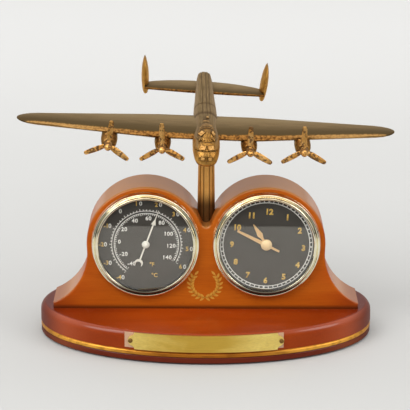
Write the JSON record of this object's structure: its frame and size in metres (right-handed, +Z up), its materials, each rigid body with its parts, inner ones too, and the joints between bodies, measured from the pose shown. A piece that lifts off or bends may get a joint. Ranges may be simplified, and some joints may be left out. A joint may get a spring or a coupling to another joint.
{
  "type": "desk clock with thermometer",
  "caption": "Desk clock and dial thermometer in a double-humped wooden case on an oval moulded base, with a cast brass aircraft on a post above.",
  "frame": {"origin": "on the table under the middle of the oval base, in the felt's underside", "axes": "+Z up; the dials face -Y; +X to the right as seen from the front, so the clock is at +X and the thermometer at -X"},
  "size_m": [0.2241, 0.1508, 0.1568],
  "materials": {
    "base_wood": "stained and waxed dark red-brown, satin",
    "felt": "short-pile baize",
    "plate_brass": "lacquered, finely brushed",
    "tape": "translucent mounting tape",
    "case_wood": "stained warm orange-brown, satin",
    "steel": "zinc-plated",
    "bezel_brass": "polished and lacquered",
    "lens_glass": "flat, clear",
    "dial_print": "matt black with printed scales",
    "black_plastic": "moulded, matt",
    "black_rubber": "ribbed, matt",
    "pale_plastic": "moulded, satin",
    "wheel_brass": "machined",
    "hand_brass": "rose-gold plated, polished",
    "pointer_paint": "matt off-white",
    "antique_brass": "cast and brushed, with a grey-brown patina"
  },
  "bodies": {
    "clock_stand": {"base_plinth": "base_wood", "base_felt": "felt", "name_plate": "plate_brass", "plate_pins": "plate_brass", "plate_tape": "tape", "case_block": "case_wood", "case_screws": "steel", "post": "antique_brass", "tie_rod": "steel", "tie_washer": "steel", "tie_nut": "steel", "fuselage": "antique_brass", "port_wing": "antique_brass", "starboard_wing": "antique_brass", "tailplane": "antique_brass", "port_fin": "antique_brass", "starboard_fin": "antique_brass", "propeller_pins": "antique_brass"},
    "clock_insert": {"clock_bezel": "bezel_brass", "clock_lens": "lens_glass", "clock_dial": "dial_print", "clock_can": "black_plastic", "clock_band": "black_rubber", "quartz_movement": "pale_plastic", "button_cell": "steel"},
    "battery_cover": {"battery_cover": "black_plastic"},
    "minute_train": {"minute_arbor": "wheel_brass", "minute_hand": "hand_brass", "hand_cap": "hand_brass"},
    "hour_train": {"hour_wheel": "wheel_brass", "hour_hand": "hand_brass"},
    "minute_wheel": {"minute_wheel": "wheel_brass"},
    "setting_knob": {"setting_knob": "black_plastic"},
    "thermometer_insert": {"thermometer_bezel": "bezel_brass", "thermometer_lens": "lens_glass", "thermometer_dial": "dial_print", "thermometer_can": "black_plastic", "thermometer_band": "black_rubber", "coil_bracket": "steel", "bimetal_coil": "wheel_brass"},
    "pointer_train": {"pointer_arbor": "steel", "pointer": "pointer_paint", "pointer_cap": "pointer_paint"},
    "propeller_1": {"propeller_1": "antique_brass"},
    "propeller_2": {"propeller_2": "antique_brass"},
    "propeller_3": {"propeller_3": "antique_brass"},
    "propeller_4": {"propeller_4": "antique_brass"}
  },
  "joints": [
    {"name": "clock_insert_slide", "type": "slide", "parent": "clock_stand", "child": "clock_insert", "axis": [0, -1, 0], "range_m": [0, 0.03]},
    {"name": "battery_cover_turn", "type": "hinge", "parent": "clock_insert", "child": "battery_cover", "pos_m": [0.04435, -0.0003, 0.0636], "axis": [0, 1, 0], "range_deg": [0, 40]},
    {"name": "minute_turn", "type": "hinge", "parent": "clock_insert", "child": "minute_train", "pos_m": [0.03615, -0.0163, 0.059], "axis": [0, 1, 0], "continuous": true},
    {"name": "hour_turn", "type": "hinge", "parent": "clock_insert", "child": "hour_train", "pos_m": [0.03615, -0.0163, 0.059], "axis": [0, 1, 0], "continuous": true},
    {"name": "minute_wheel_turn", "type": "hinge", "parent": "clock_insert", "child": "minute_wheel", "pos_m": [0.02915, -0.0113, 0.059], "axis": [0, 1, 0], "continuous": true},
    {"name": "setting_turn", "type": "hinge", "parent": "clock_insert", "child": "setting_knob", "pos_m": [0.02915, -0.0003, 0.052], "axis": [0, 1, 0], "continuous": true},
    {"name": "thermometer_insert_slide", "type": "slide", "parent": "clock_stand", "child": "thermometer_insert", "axis": [0, -1, 0], "range_m": [0, 0.03]},
    {"name": "pointer_turn", "type": "hinge", "parent": "thermometer_insert", "child": "pointer_train", "pos_m": [-0.03615, -0.0163, 0.059], "axis": [0, 1, 0], "range_deg": [-163.6, 102.5], "stiffness_Nm_per_rad": 0.00002, "deforming": ["bimetal_coil"]},
    {"name": "propeller_1_spin", "type": "hinge", "parent": "clock_stand", "child": "propeller_1", "pos_m": [-0.05749, -0.03218, 0.12376], "axis": [0.0133, -0.9948, -0.101], "continuous": true},
    {"name": "propeller_2_spin", "type": "hinge", "parent": "clock_stand", "child": "propeller_2", "pos_m": [-0.02605, -0.03158, 0.12195], "axis": [0.0133, -0.9948, -0.101], "continuous": true},
    {"name": "propeller_3_spin", "type": "hinge", "parent": "clock_stand", "child": "propeller_3", "pos_m": [0.02551, -0.03068, 0.11992], "axis": [0.0133, -0.9948, -0.101], "continuous": true},
    {"name": "propeller_4_spin", "type": "hinge", "parent": "clock_stand", "child": "propeller_4", "pos_m": [0.05703, -0.03027, 0.12], "axis": [0.0133, -0.9948, -0.101], "continuous": true}
  ],
  "couplings": [
    {"joint": "hour_turn", "follows": "minute_turn", "ratio": 0.083333},
    {"joint": "minute_wheel_turn", "follows": "minute_turn", "ratio": -0.33333},
    {"joint": "setting_turn", "follows": "minute_turn", "ratio": 1}
  ]
}
